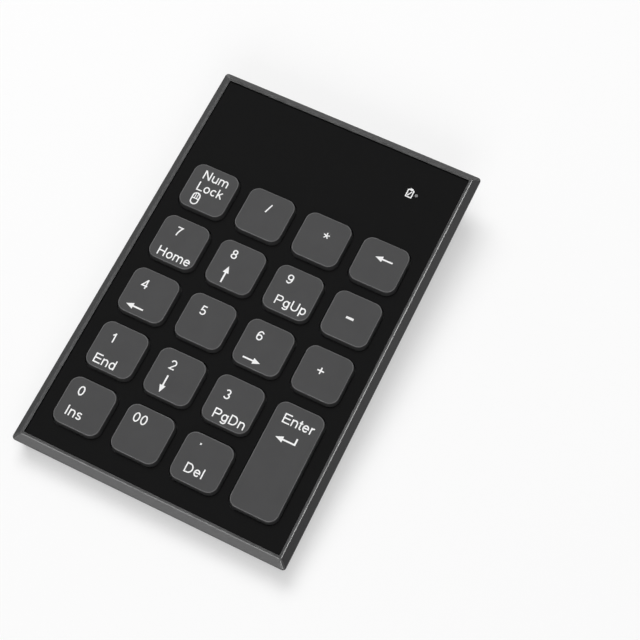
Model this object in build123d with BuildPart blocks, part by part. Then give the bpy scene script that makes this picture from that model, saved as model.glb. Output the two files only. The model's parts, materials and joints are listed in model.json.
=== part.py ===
from build123d import *
from math import atan2, cos, degrees, sin
import os

# A wireless numeric keypad: nineteen low keys in a thin case, which a hump under its
# back end raises to a typing slope. The hump holds the cell, the board and the switch.
#
# Every piece is drawn in the deck frame, in millimetres: z = 0 is the top of the face
# plate, X runs to the right, Y to the back, and the origin is the middle of the panel.
# The last section tilts the whole keypad onto its feet.

# --- Key grid ---
key_pitch = 19.0            # standard spacing between key centres, both ways
key_gap = 3.5               # between the rims of neighbouring caps
key_rows = (
    ("num_lock", "divide", "multiply", "backspace"),
    ("7", "8", "9", "minus"),
    ("4", "5", "6", "plus"),
    ("1", "2", "3", "enter"),
    ("0", "00", "decimal"),
)
tall_key = "enter"          # reaches down over two rows

# --- Panel, lip and skirt ---
side_margin = 4.65          # panel edge to the nearest cap, at the sides
front_margin = 6.2          # the same at the front
rear_band = 29.6            # blank band behind the keys
panel_corner = 0.4
plate_thickness = 0.6
plate_gap = 0.12            # all round, between the face plate and the lip
lip_width = 0.75
lip_height = 0.5
skirt_width = 2.15
skirt_height = 1.8
skirt_corner = 1.0
crease_corner = 0.4
crease_radius = 0.6
rim_height = 0.7            # upright edge under the skirt
rim_radius = 0.25

# --- Keys ---
key_travel = 1.5
cap_height = 1.8            # cap top above the panel
cap_draft = 0.3             # the cap's top is this much smaller on each side
cap_corner = 3.3
cap_edge_radius = 0.36
cap_rim_depth = 0.5         # cap rim below the panel
cap_roof = 1.0
cap_wall = 0.9
aperture_gap = 0.28         # between a cap and the face plate
well_gap = 0.5              # between a cap and its well in the frame
stem_width = 4.4
stem_fit = 0.08             # stem to guide, on each side
guide_wall = 0.9
lug_reach = 0.4             # snap lugs that stop the cap from lifting out
lug_width = 2.0
lug_height = 0.5
lug_play = 0.1
travel_spare = 0.2          # left under the cap when the key is down

# --- Dome under each stem ---
dome_rest = 0.4             # height of a dome that is pressed flat
dome_base_radius = 4.2
dome_flange = 0.35
dome_shoulder_radius = 3.3
dome_top_radius = 2.0
dome_wall = 0.45
dome_play = 0.05

# --- Top frame inside ---
deck_thickness = 1.2
well_floor_thickness = 0.6
key_block_wall = 0.8        # round the outermost wells
tongue_depth = 2.0
tongue_thickness = 1.0
tongue_gap = 0.15
tongue_corner = 1.0

# --- Membranes and support plate ---
sheet_thickness = 0.1
sheet_margin = 0.2          # the sheets stop short of the screw pillars by this much
sheet_front_gap = 1.5       # sheets to the frame's tongue
sheet_rear_margin = 1.2     # the sheets reach this far behind the rearmost caps
sheet_corner = 2.0
contact_hole = 5.0
support_thickness = 0.4
tail_width = 6.5

# --- Lower case ---
tray_inset = 0.9            # the lower case stands in from the rim of the frame
tray_corner = 2.0
tray_wall = 1.4
tray_floor_thickness = 1.0
tray_edge_radius = 1.1
hump_side_inset = 2.2       # hump to the side of the lower case
hump_rear_inset = 2.9       # hump to the back of the lower case
hump_channel = 5.5          # room in the hump in front of the cradle and behind it
hump_slope = 2.0            # how far the hump's walls lean in
hump_wall = 1.2
hump_corner = 3.0
end_wall_root = 0.1         # the end walls run this far into the hump's sloping walls, at each end
label_width = 46.0          # shallow bare seat for a label, on the underside
label_length = 26.0
label_depth = 0.15
label_corner = 1.5

# --- Snap hooks along the back edge, which has no screws ---
snap_spacing = 26.0
snap_count = 3
snap_width = 6.0
snap_height = 0.8
snap_reach = 0.5            # past the tongue of the frame
snap_drop = 0.9             # tip of the tongue to the underside of a hook
snap_play = 0.1

# --- Cell, AAA size ---
cell_diameter = 10.5
cell_length = 44.5
cell_edge_radius = 0.5
cell_nub_diameter = 3.8
cell_nub = 0.8
cell_headroom = 0.6         # cell to the deck above it
cell_door_gap = 0.3
cell_side_gap = 0.5
cradle_wall = 1.0
cradle_lead_gap = 0.2       # cradle to the contact's tab, which crosses above it
contact_thickness = 0.3
contact_width = 9.0
contact_height = 9.6
spring_length = 4.9
spring_wire = 0.5
spring_turns = 4
spring_base_radius = 3.4
spring_tip_radius = 2.2
spring_bite = 0.05          # how far the first turn is sunk into the plate it is welded to

# --- Battery door ---
door_lap = 0.9              # the door's tongues run this far over the case's ledges
door_layer = 0.6            # thickness of the ledges and of the door's lower layer
door_fit = 0.08
door_margin = 1.4           # the door opening past the battery bay, on each side
grip_grooves = 5
grip_pitch = 1.5
grip_width = 0.7
grip_depth = 0.35
grip_length = 22.0

# --- Board and what is on it ---
board_width = 13.0
board_length = 19.6
board_offset = 3.5          # middle of the board, to the right of the light
board_bay_gap = 2.5         # board to the battery bay
board_thickness = 1.0
board_corner = 0.6
chip_size = 4.0
chip_height = 0.9
chip_chamfer = 0.1
chip_offset_x = 2.5         # from the middle of the board
chip_offset_y = -1.5
light_rear_margin = 11.35   # panel's back edge to the light
light_length = 1.6
light_width = 0.8
light_height = 0.7
pipe_gap = 0.3              # light to light pipe
pipe_radius = 1.0
pipe_tip_radius = 0.5
pipe_collar_radius = 1.7
pipe_collar_height = 0.8
pipe_fit = 0.05

# --- Membrane clamp ---
clamp_depth = 2.6
clamp_height = 1.2
clamp_margin = 1.7          # board's front edge to the middle of the clamp
clamp_screw_margin = 1.7    # board's sides to the clamp screws

# --- Power switch ---
switch_offset_x = -0.5      # from the middle of the board
switch_offset_y = 3.2
switch_length = 8.0
switch_width = 3.6
switch_height = 3.4
switch_travel = 2.0
switch_socket = 1.0         # depth of the socket that holds the knob's stem
knob_length = 2.4
knob_width = 1.8
knob_pad_length = 3.6
knob_pad_width = 2.8
knob_pad_height = 1.5
knob_gap = 0.2
knob_ridges = 4
knob_ridge_pitch = 0.9
knob_ridge_width = 0.45
knob_ridge_depth = 0.4
recess_length = 10.4
recess_width = 5.4
recess_wall = 1.0
recess_corner = 1.0
switch_gap = 0.1            # switch to the wall under it

# --- Leads ---
lead_diameter = 1.0
lead_bend = 1.0
lead_drop = 1.6             # below the board
rear_lead_offset = 8.75     # from the middle of the hump
front_lead_offset = -3.05
lead_landing = 1.5          # board's left edge to where the leads join it

# --- Screws, all alike ---
screw_radius = 1.0
screw_length = 4.2
screw_head_radius = 1.75
screw_head_height = 1.2
screw_fit = 0.03            # thread to its pilot hole
screw_free_fit = 0.15       # shank to the holes it only passes through
pilot_spare = 0.15          # pilot hole past the tip
cross_length = 2.0
cross_width = 0.45
cross_depth = 0.6
pillar_radius = 2.5
counterbore_radius = 2.0
counterbore_depth = 1.7
pillar_height = 1.7         # above the floor of the lower case
pillar_gap = 0.3            # pillar to the wall of the case
pillar_front_margin = 17.0  # case's front edge to the first pair
pillar_rear_margin = 6.0    # last pair to the hump
board_pillar_radius = 2.2
board_post_radius = 1.4
board_post_margin = 1.6     # board's back edge to its plain post

# --- Enter stabiliser ---
wire_radius = 0.35
wire_arm = 5.5
wire_bend = 0.8
wire_tip = 1.7              # bent-out end that the cap's hook holds
wire_pivot_x = 5.2          # pivot to the middle of the key
wire_half_length = 11.5
wire_floor_gap = 0.05       # between the wire and the well floor when the key is down
wire_play = 0.12
clip_width = 1.6
clip_height = 0.1           # clip above the wire
clip_thickness = 0.7
clip_place = 0.6            # clips stand at this share of the wire's half length
clip_mouth = 0.8            # mouth of a clip, as a share of the wire's diameter
hook_length = 3.0
hook_width = 0.9
hook_offset = 0.25          # hook beyond the bend of the wire
hook_lip = 0.5              # material under the hook's slot
window_gap = 0.4            # round a hook where it passes the well floor

# --- Feet ---
foot_length = 7.6
foot_width = 6.0
foot_corner = 2.0
foot_height = 1.0           # below the case, at the middle of each foot
foot_seat = 0.4             # how far each foot is let into the case
foot_fit = 0.05
foot_side_margin = 6.9      # middle of a foot to the hump's side
front_foot_margin = 8.2     # middle of a front foot to the front edge of the lower case
rear_foot_margin = 7.0      # middle of a rear foot to the hump's front


# --- Worked-out sizes: plan ---
columns = len(key_rows[0])
row_count = len(key_rows)
cap_width = key_pitch - key_gap
panel_width = (columns - 1) * key_pitch + cap_width + 2 * side_margin
panel_length = (row_count - 1) * key_pitch + cap_width + front_margin + rear_band
crease_width = panel_width + 2 * lip_width
crease_length = panel_length + 2 * lip_width
case_width = crease_width + 2 * skirt_width
case_length = crease_length + 2 * skirt_width
tray_width = case_width - 2 * tray_inset
tray_length = case_length - 2 * tray_inset
inner_width = tray_width - 2 * tray_wall
inner_length = tray_length - 2 * tray_wall
last_row_y = -panel_length / 2 + front_margin + cap_width / 2
first_row_y = last_row_y + (row_count - 1) * key_pitch
first_column_x = -(columns - 1) / 2 * key_pitch
pillar_x = inner_width / 2 - pillar_radius - pillar_gap
hump_width = tray_width - 2 * hump_side_inset
bay_half_width = cell_diameter / 2 + cell_side_gap
hump_length = 2 * (bay_half_width + cradle_wall + hump_channel)
hump_rear = tray_length / 2 - hump_rear_inset
hump_front = hump_rear - hump_length
hump_y = (hump_front + hump_rear) / 2
light_x = first_column_x + (columns - 1) * key_pitch
light_y = panel_length / 2 - light_rear_margin
board_x = light_x + board_offset
board_left = board_x - board_width / 2
board_front = hump_y - board_length / 2
board_rear = hump_y + board_length / 2
bay_right = board_left - board_bay_gap
bay_length = cell_length + spring_length + 2 * contact_thickness
bay_left = bay_right - bay_length
cell_right = bay_right - contact_thickness
cell_left = cell_right - cell_length
spring_left = bay_left + contact_thickness
cell_y = hump_y
clamp_y = board_front + clamp_margin
switch_x = board_x + switch_offset_x
switch_y = hump_y + switch_offset_y
rear_lead_y = hump_y + rear_lead_offset
front_lead_y = hump_y + front_lead_offset
lead_end_x = board_left + lead_landing
block_y = (first_row_y + last_row_y) / 2
pillar_rows = (-tray_length / 2 + pillar_front_margin, block_y, hump_front - pillar_rear_margin)
case_screws = [(side * pillar_x, y) for side in (-1, 1) for y in pillar_rows]
clamp_screws = [(board_x + side * (board_width / 2 - clamp_screw_margin), clamp_y) for side in (-1, 1)]
foot_x = hump_width / 2 - foot_side_margin
front_foot_y = -tray_length / 2 + front_foot_margin
rear_foot_y = hump_front + rear_foot_margin
snap_places = [(index - (snap_count - 1) / 2) * snap_spacing for index in range(snap_count)]

# --- Worked-out sizes: levels ---
lip_top = lip_height
skirt_bottom = lip_top - skirt_height
frame_bottom = skirt_bottom - rim_height
deck_top = -plate_thickness
deck_bottom = deck_top - deck_thickness
cap_rim = -cap_rim_depth
cap_ceiling = cap_height - cap_roof
well_floor = cap_rim - key_travel - cap_rim_depth
well_underside = well_floor - well_floor_thickness
guide_top = cap_ceiling - key_travel - travel_spare
lug_top = well_underside - lug_play
stem_end = lug_top - lug_height
dome_height = key_travel + dome_rest
sheet_top = stem_end - dome_play - dome_height
support_top = sheet_top - 3 * sheet_thickness
tray_floor = support_top - support_thickness
case_bottom = tray_floor - tray_floor_thickness
board_top = support_top
board_bottom = board_top - board_thickness
cell_z = deck_bottom - cell_headroom - cell_diameter / 2
hump_floor = cell_z - cell_diameter / 2 - cell_door_gap
hump_bottom = hump_floor - hump_wall
pillar_top = tray_floor + pillar_height
screw_seat = case_bottom + counterbore_depth
switch_bottom = board_bottom - switch_height
recess_depth = switch_bottom - switch_gap - recess_wall - hump_bottom
lead_z = board_bottom - lead_drop
cradle_top = lead_z - lead_diameter - cradle_lead_gap
snap_z = frame_bottom - tongue_depth + snap_drop


def level(height, x=0, y=0):
    """A plane parallel to the deck, at a height, with its origin at a place in plan."""
    return Plane(origin=(x, y, height))


def upright(x, y, height):
    """A plane that faces the front, for profiles that are turned about a vertical line."""
    return Plane(origin=(x, y, height), x_dir=(1, 0, 0), z_dir=(0, -1, 0))


class Key:
    """Where a key stands, and the plan size of its cap."""

    def __init__(self, name, column, row):
        rows_covered = 2 if name == tall_key else 1
        self.name = name
        self.x = first_column_x + column * key_pitch
        self.y = first_row_y - (row + (rows_covered - 1) / 2) * key_pitch
        self.width = cap_width
        self.length = cap_width + (rows_covered - 1) * key_pitch

    def outline(self, grow, mode=Mode.ADD):
        """The rounded outline of the cap's rim, grown by a gap all round."""
        return RectangleRounded(self.width + 2 * grow, self.length + 2 * grow, cap_corner + grow, mode=mode)


keys = [Key(name, column, row) for row, names in enumerate(key_rows) for column, name in enumerate(names)]
enter = next(key for key in keys if key.name == tall_key)
pieces = {}


# --- Enter stabiliser: places shared by the frame, the cap and the wire ---
wire_rise = key_travel / 2
pivot_x = enter.x + wire_pivot_x
pivot_z = well_floor + wire_floor_gap + wire_radius + wire_rise
tip_x = pivot_x - wire_arm
tip_z = pivot_z + wire_rise
hook_y = wire_half_length + hook_offset + hook_width / 2 + wire_radius
hook_bottom = tip_z - wire_radius - wire_play - hook_lip
hook_places = [(tip_x, enter.y + side * hook_y) for side in (-1, 1)]


# --- Top frame ---
block_width = (columns - 1) * key_pitch + cap_width + 2 * (well_gap + key_block_wall)
block_length = (row_count - 1) * key_pitch + cap_width + 2 * (well_gap + key_block_wall)
tongue_width = inner_width - 2 * tongue_gap
tongue_length = inner_length - 2 * tongue_gap

with BuildPart() as top_frame:
    with BuildSketch(level(frame_bottom)):
        RectangleRounded(case_width, case_length, skirt_corner)
    extrude(amount=rim_height)
    with BuildSketch(level(skirt_bottom)):
        RectangleRounded(case_width, case_length, skirt_corner)
    with BuildSketch(level(lip_top)):
        RectangleRounded(crease_width, crease_length, crease_corner)
    loft(ruled=True)
    fillet(top_frame.faces().sort_by(Axis.Z)[-1].edges(), crease_radius)
    skirt_edges = [e for e in top_frame.edges() if abs(e.center().Z - skirt_bottom) < 0.01]
    fillet(skirt_edges, rim_radius)
    # recess for the face plate
    with BuildSketch(level(deck_top)):
        RectangleRounded(panel_width, panel_length, panel_corner)
    extrude(amount=lip_top - deck_top, mode=Mode.SUBTRACT)
    # open underside, with a tongue that stands inside the lower case
    with BuildSketch(level(frame_bottom)):
        RectangleRounded(tongue_width - 2 * tongue_thickness, tongue_length - 2 * tongue_thickness,
                         tongue_corner)
    extrude(amount=deck_bottom - frame_bottom, mode=Mode.SUBTRACT)
    with BuildSketch(level(frame_bottom - tongue_depth)):
        RectangleRounded(tongue_width, tongue_length, tongue_corner)
        RectangleRounded(tongue_width - 2 * tongue_thickness, tongue_length - 2 * tongue_thickness,
                         tongue_corner, mode=Mode.SUBTRACT)
    extrude(amount=tongue_depth)
    # snap hooks behind the tongue
    with BuildSketch(level(snap_z)):
        with Locations([(x, tongue_length / 2) for x in snap_places]):
            Rectangle(snap_width, 2 * snap_reach)
    extrude(amount=snap_height)
    # bosses that take the case screws
    with BuildSketch(level(pillar_top)):
        with Locations(case_screws):
            Circle(pillar_radius)
    extrude(amount=deck_bottom - pillar_top)
    # block with a well for each key
    with BuildSketch(level(well_underside)):
        with Locations((0, block_y)):
            RectangleRounded(block_width, block_length, cap_corner)
    extrude(amount=deck_top - well_underside)
    with BuildSketch(level(well_floor)):
        for key in keys:
            with Locations((key.x, key.y)):
                key.outline(well_gap)
    extrude(amount=deck_top - well_floor, mode=Mode.SUBTRACT)
    # stem guides, and the holes through them
    with BuildSketch(level(well_floor)):
        for key in keys:
            with Locations((key.x, key.y)):
                Rectangle(stem_width + 2 * (stem_fit + guide_wall), stem_width + 2 * (stem_fit + guide_wall))
    extrude(amount=guide_top - well_floor)
    with BuildSketch(level(well_underside)):
        for key in keys:
            with Locations((key.x, key.y)):
                Rectangle(stem_width + 2 * stem_fit, stem_width + 2 * stem_fit)
    extrude(amount=guide_top - well_underside, mode=Mode.SUBTRACT)
    # clips that hold the stabiliser wire, and windows for the hooks of the Enter cap
    with BuildSketch(level(well_floor)):
        with Locations([(pivot_x, enter.y + side * wire_half_length * clip_place) for side in (-1, 1)]):
            Rectangle(2 * (wire_radius + clip_thickness), clip_width)
    extrude(amount=pivot_z + wire_radius + clip_height - well_floor)
    with BuildSketch(Plane(origin=(pivot_x, enter.y - wire_half_length, pivot_z), x_dir=(1, 0, 0),
                           z_dir=(0, 1, 0))):
        Circle(wire_radius + wire_play / 2)
        with Locations((0, -wire_radius)):
            Rectangle(2 * wire_radius * clip_mouth, 2 * wire_radius + 2 * clip_height)
    extrude(amount=2 * wire_half_length, mode=Mode.SUBTRACT)
    with BuildSketch(level(well_underside)):
        with Locations(hook_places):
            Rectangle(hook_length + 2 * window_gap, hook_width + 2 * window_gap)
    extrude(amount=well_floor - well_underside, mode=Mode.SUBTRACT)
    # pilot holes for the screws, and the hole for the light pipe
    with BuildSketch(level(pillar_top)):
        with Locations(case_screws):
            Circle(screw_radius + screw_fit)
    extrude(amount=screw_seat + screw_length + pilot_spare - pillar_top, mode=Mode.SUBTRACT)
    with BuildSketch(level(deck_bottom)):
        with Locations((light_x, light_y)):
            Circle(pipe_radius + pipe_fit)
    extrude(amount=deck_thickness, mode=Mode.SUBTRACT)
pieces["top_frame"] = top_frame.part


# --- Face plate ---
with BuildPart() as face_plate:
    with BuildSketch(level(deck_top)):
        RectangleRounded(panel_width - 2 * plate_gap, panel_length - 2 * plate_gap, panel_corner - plate_gap)
        for key in keys:
            with Locations((key.x, key.y)):
                key.outline(aperture_gap, mode=Mode.SUBTRACT)
        with Locations((light_x, light_y)):
            Circle(pipe_tip_radius + pipe_fit, mode=Mode.SUBTRACT)
    extrude(amount=plate_thickness)
pieces["face_plate"] = face_plate.part


# --- Keycaps ---
def keycap(key):
    """A hollow cap that leans in towards its top, with a square stem and two snap lugs."""
    with BuildPart() as cap:
        with BuildSketch(level(cap_rim, key.x, key.y)):
            key.outline(0)
        with BuildSketch(level(cap_height, key.x, key.y)):
            key.outline(-cap_draft)
        loft(ruled=True)
        fillet(cap.faces().sort_by(Axis.Z)[-1].edges(), cap_edge_radius)
        with BuildSketch(level(cap_rim, key.x, key.y)):
            key.outline(-cap_wall)
        extrude(amount=cap_ceiling - cap_rim, mode=Mode.SUBTRACT)
        with BuildSketch(level(stem_end, key.x, key.y)):
            Rectangle(stem_width, stem_width)
        extrude(amount=cap_ceiling - stem_end)
        with BuildSketch(level(stem_end, key.x, key.y)):
            Rectangle(stem_width + 2 * lug_reach, lug_width)
        extrude(amount=lug_height)
        if key is enter:
            # two hooks, each with a slot for one end of the stabiliser wire
            with BuildSketch(level(hook_bottom)):
                with Locations(hook_places):
                    Rectangle(hook_length, hook_width)
            extrude(amount=cap_ceiling - hook_bottom)
            with BuildSketch(level(tip_z - wire_radius - wire_play)):
                with Locations(hook_places):
                    Rectangle(2 * wire_radius + 4 * wire_play, 2 * hook_width)
            extrude(amount=2 * (wire_radius + wire_play), mode=Mode.SUBTRACT)
    return cap.part


for key in keys:
    pieces[f"key_{key.name}"] = keycap(key)


# --- Rubber domes ---
def dome(key):
    """A rubber dome: a flange, a thin cone that buckles, and a flat top under the stem."""
    knee = dome_height - 2 * dome_wall
    with BuildPart() as rubber:
        with BuildSketch(upright(key.x, key.y, sheet_top)):
            with BuildLine():
                Polyline(
                    (dome_shoulder_radius - dome_wall, 0),
                    (dome_base_radius, 0),
                    (dome_base_radius, dome_flange),
                    (dome_shoulder_radius, dome_flange),
                    (dome_top_radius, dome_height - dome_flange),
                    (dome_top_radius, dome_height),
                    (0, dome_height),
                    (0, knee - dome_wall),
                    (dome_wall, knee - dome_wall),
                    (dome_wall, knee),
                    (dome_top_radius - dome_wall, knee),
                    (dome_shoulder_radius - dome_wall, dome_flange),
                    close=True,
                )
            make_face()
        revolve(axis=Axis((key.x, key.y, 0), (0, 0, 1)))
    return rubber.part


for key in keys:
    pieces[f"dome_{key.name}"] = dome(key)


# --- Stabiliser wire under the Enter key ---
wire_plane = Plane(origin=(pivot_x, enter.y, pivot_z), x_dir=(-wire_arm, 0, wire_rise),
                   z_dir=(wire_rise, 0, wire_arm))
wire_reach = (wire_arm ** 2 + wire_rise ** 2) ** 0.5
with BuildPart() as enter_stabiliser:
    with BuildLine(wire_plane) as wire_path:
        FilletPolyline(
            (wire_reach, -wire_half_length - wire_tip),
            (wire_reach, -wire_half_length),
            (0, -wire_half_length),
            (0, wire_half_length),
            (wire_reach, wire_half_length),
            (wire_reach, wire_half_length + wire_tip),
            radius=wire_bend,
        )
    with BuildSketch(Plane(origin=wire_path.line @ 0, z_dir=wire_path.line % 0)):
        Circle(wire_radius)
    sweep(path=wire_path.line)
pieces["enter_stabiliser"] = enter_stabiliser.part


# --- Membranes and support plate ---
sheet_width = 2 * (pillar_x - pillar_radius - sheet_margin)
sheet_front = -inner_length / 2 + tongue_thickness + sheet_front_gap
sheet_rear = first_row_y + cap_width / 2 + sheet_rear_margin
sheet_length = sheet_rear - sheet_front
sheet_y = (sheet_rear + sheet_front) / 2
tail_rear = clamp_y + clamp_depth / 2


def sheet_outline(corner=sheet_corner):
    """The plan of the membranes and of the plate that carries them."""
    with Locations((0, sheet_y)):
        RectangleRounded(sheet_width, sheet_length, corner)


with BuildPart() as membrane_top:
    with BuildSketch(level(sheet_top - sheet_thickness)):
        sheet_outline()
    extrude(amount=sheet_thickness)
pieces["membrane_top"] = membrane_top.part

with BuildPart() as membrane_spacer:
    with BuildSketch(level(sheet_top - 2 * sheet_thickness)):
        sheet_outline()
        with Locations([(key.x, key.y) for key in keys]):
            Circle(contact_hole / 2, mode=Mode.SUBTRACT)
    extrude(amount=sheet_thickness)
pieces["membrane_spacer"] = membrane_spacer.part

with BuildPart() as membrane_bottom:
    with BuildSketch(level(support_top)):
        sheet_outline()
        with Locations((board_x, (sheet_rear + tail_rear) / 2 - sheet_corner / 2)):
            Rectangle(tail_width, tail_rear - sheet_rear + sheet_corner)
    extrude(amount=sheet_thickness)
pieces["membrane_bottom"] = membrane_bottom.part

with BuildPart() as support_plate:
    with BuildSketch(level(tray_floor)):
        sheet_outline()
    extrude(amount=support_thickness)
pieces["support_plate"] = support_plate.part


# --- Lower case ---
door_front = cell_y - bay_half_width
door_rear = hump_rear - hump_slope
door_left = bay_left - door_margin
door_right = bay_right + door_margin
door_x = (door_left + door_right) / 2
end_wall_length = hump_length - 2 * (hump_slope - end_wall_root)
feet = [(side * foot_x, y, bottom) for side in (-1, 1)
        for y, bottom in ((front_foot_y, case_bottom), (rear_foot_y, hump_bottom))]


def hump_outline(inset):
    """The plan of the hump at one level, set in from its outline where it meets the case."""
    with Locations((0, hump_y)):
        RectangleRounded(hump_width - 2 * inset, hump_length - 2 * inset, hump_corner)


with BuildPart() as bottom_case:
    with BuildSketch(level(case_bottom)):
        RectangleRounded(tray_width, tray_length, tray_corner)
    extrude(amount=frame_bottom - case_bottom)
    fillet(bottom_case.faces().sort_by(Axis.Z)[0].edges(), tray_edge_radius)
    with BuildSketch(level(hump_bottom)):
        hump_outline(hump_slope)
    with BuildSketch(level(case_bottom)):
        hump_outline(0)
    loft(ruled=True)
    # hollow of the tray and of the hump
    with BuildSketch(level(tray_floor)):
        RectangleRounded(inner_width, inner_length, tongue_corner)
    extrude(amount=frame_bottom - tray_floor, mode=Mode.SUBTRACT)
    with BuildSketch(level(hump_floor)):
        hump_outline(hump_slope + hump_wall)
    with BuildSketch(level(tray_floor)):
        hump_outline(hump_wall)
    loft(ruled=True, mode=Mode.SUBTRACT)
    # cradle along the cell, and the end walls that carry its contacts
    with BuildSketch(level(hump_floor)):
        with Locations([((bay_left + bay_right) / 2, cell_y + side * (bay_half_width + cradle_wall / 2))
                        for side in (-1, 1)]):
            Rectangle(bay_length, cradle_wall)
    extrude(amount=cradle_top - hump_floor)
    with BuildSketch(level(hump_floor)):
        with Locations((bay_left - hump_wall / 2, hump_y), (bay_right + hump_wall / 2, hump_y)):
            Rectangle(hump_wall, end_wall_length)
    extrude(amount=cell_z + cell_diameter / 2 - hump_floor)
    # posts under the board, and the block round the switch recess
    with BuildSketch(level(hump_floor)):
        with Locations(clamp_screws):
            Circle(board_pillar_radius)
        with Locations((board_x, board_rear - board_post_margin)):
            Circle(board_post_radius)
    extrude(amount=board_bottom - hump_floor)
    with BuildSketch(level(hump_floor)):
        with Locations((switch_x, switch_y)):
            Rectangle(recess_length + 2 * recess_wall, recess_width + 2 * recess_wall)
    extrude(amount=switch_bottom - switch_gap - hump_floor)
    # screw pillars in the tray
    with BuildSketch(level(tray_floor)):
        with Locations(case_screws):
            Circle(pillar_radius)
    extrude(amount=pillar_height)
    with BuildSketch(level(case_bottom)):
        with Locations(case_screws):
            Circle(counterbore_radius)
    extrude(amount=counterbore_depth, mode=Mode.SUBTRACT)
    with BuildSketch(level(case_bottom)):
        with Locations(case_screws):
            Circle(screw_radius + screw_free_fit)
    extrude(amount=pillar_top - case_bottom, mode=Mode.SUBTRACT)
    with BuildSketch(level(board_bottom)):
        with Locations(clamp_screws):
            Circle(screw_radius + screw_fit)
    extrude(amount=-screw_length, mode=Mode.SUBTRACT)
    # opening for the battery door: ledges below, and a wider step above them
    with BuildSketch(level(hump_bottom)):
        with Locations((door_x, (door_front + hump_rear) / 2)):
            Rectangle(door_right - door_left, hump_rear - door_front)
    extrude(amount=door_layer, mode=Mode.SUBTRACT)
    with BuildSketch(level(hump_bottom + door_layer)):
        with Locations((door_x, (door_front - door_lap + hump_rear) / 2)):
            Rectangle(door_right - door_left + 2 * door_lap, hump_rear - door_front + door_lap)
    extrude(amount=hump_wall - door_layer + door_fit, mode=Mode.SUBTRACT)
    # switch recess and the slot for the knob
    with BuildSketch(level(hump_bottom)):
        with Locations((switch_x, switch_y)):
            RectangleRounded(recess_length, recess_width, recess_corner)
    extrude(amount=recess_depth, mode=Mode.SUBTRACT)
    with BuildSketch(level(hump_bottom + recess_depth)):
        with Locations((switch_x, switch_y)):
            Rectangle(knob_length + switch_travel + 2 * knob_gap, knob_width + 2 * knob_gap)
    extrude(amount=recess_wall, mode=Mode.SUBTRACT)
    # holes for the leads, pockets for the snap hooks, and seats for the label and the feet
    for y in (rear_lead_y, front_lead_y):
        with BuildSketch(Plane(origin=(bay_right, y, lead_z), z_dir=(1, 0, 0))):
            Circle(lead_diameter / 2 + screw_free_fit)
        extrude(amount=hump_wall, mode=Mode.SUBTRACT)
    with BuildSketch(level(snap_z - snap_play)):
        with Locations([(x, tongue_length / 2) for x in snap_places]):
            Rectangle(snap_width + 2 * snap_play, 2 * (snap_reach + snap_play))
    extrude(amount=snap_height + 2 * snap_play, mode=Mode.SUBTRACT)
    with BuildSketch(level(case_bottom)):
        with Locations((0, block_y)):
            RectangleRounded(label_width, label_length, label_corner)
    extrude(amount=label_depth, mode=Mode.SUBTRACT)
    for foot_at_x, foot_at_y, bottom in feet:
        with BuildSketch(level(bottom, foot_at_x, foot_at_y)):
            RectangleRounded(foot_length + 2 * foot_fit, foot_width + 2 * foot_fit, foot_corner)
        extrude(amount=foot_seat, mode=Mode.SUBTRACT)
pieces["bottom_case"] = bottom_case.part


# --- Battery door ---
with BuildPart() as battery_door:
    lower_width = door_right - door_left - 2 * door_fit
    lower_length = door_rear - door_front - door_fit
    with BuildSketch(level(hump_bottom)):
        with Locations((door_x, door_rear - lower_length / 2)):
            Rectangle(lower_width, lower_length)
    extrude(amount=door_layer + door_fit)
    upper_length = lower_length + door_lap - door_fit
    with BuildSketch(level(hump_bottom + door_layer + door_fit)):
        with Locations((door_x, door_rear - upper_length / 2)):
            Rectangle(lower_width + 2 * door_lap - 2 * door_fit, upper_length)
    extrude(amount=hump_wall - door_layer - 2 * door_fit)
    # finger grip
    with BuildSketch(level(hump_bottom)):
        with Locations((door_x, cell_y)):
            with GridLocations(grip_length, grip_pitch, 1, grip_grooves):
                SlotOverall(grip_length, grip_width)
    extrude(amount=grip_depth, mode=Mode.SUBTRACT)
pieces["battery_door"] = battery_door.part


# --- Cell and its contacts ---
with BuildPart() as battery:
    with BuildSketch(Plane(origin=(cell_left, cell_y, cell_z), z_dir=(1, 0, 0))):
        Circle(cell_diameter / 2)
    extrude(amount=cell_length - cell_nub)
    fillet(battery.edges().filter_by(GeomType.CIRCLE), cell_edge_radius)
    with BuildSketch(Plane(origin=(cell_right - cell_nub, cell_y, cell_z), z_dir=(1, 0, 0))):
        Circle(cell_nub_diameter / 2)
    extrude(amount=cell_nub)
pieces["battery"] = battery.part

with BuildPart() as battery_contact:
    with BuildSketch(Plane(origin=(cell_right, cell_y, cell_z), x_dir=(0, 1, 0), z_dir=(1, 0, 0))):
        Rectangle(contact_width, contact_height)
    extrude(amount=contact_thickness)
pieces["battery_contact"] = battery_contact.part

tab_length = rear_lead_offset + lead_diameter
with BuildPart() as battery_spring:
    # plate against the end wall, with a tab that reaches back to the lead
    with BuildSketch(Plane(origin=(bay_left, cell_y, cell_z), x_dir=(0, 1, 0), z_dir=(1, 0, 0))):
        Rectangle(contact_width, contact_height)
        with Locations((tab_length / 2, lead_z - cell_z)):
            Rectangle(tab_length, 2 * lead_diameter)
    extrude(amount=contact_thickness)
    # coil that narrows towards the cell
    coil_length = cell_left - spring_left - 2 * spring_wire
    coil = Helix(
        pitch=coil_length / spring_turns,
        height=coil_length,
        radius=spring_base_radius,
        center=(spring_left + spring_wire / 2 - spring_bite, cell_y, cell_z),
        direction=(1, 0, 0),
        cone_angle=-degrees(atan2(spring_base_radius - spring_tip_radius, coil_length)),
    )
    with BuildSketch(Plane(origin=coil @ 0, z_dir=coil % 0)):
        Circle(spring_wire / 2)
    sweep(path=coil, is_frenet=True)
pieces["battery_spring"] = battery_spring.part


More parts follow.
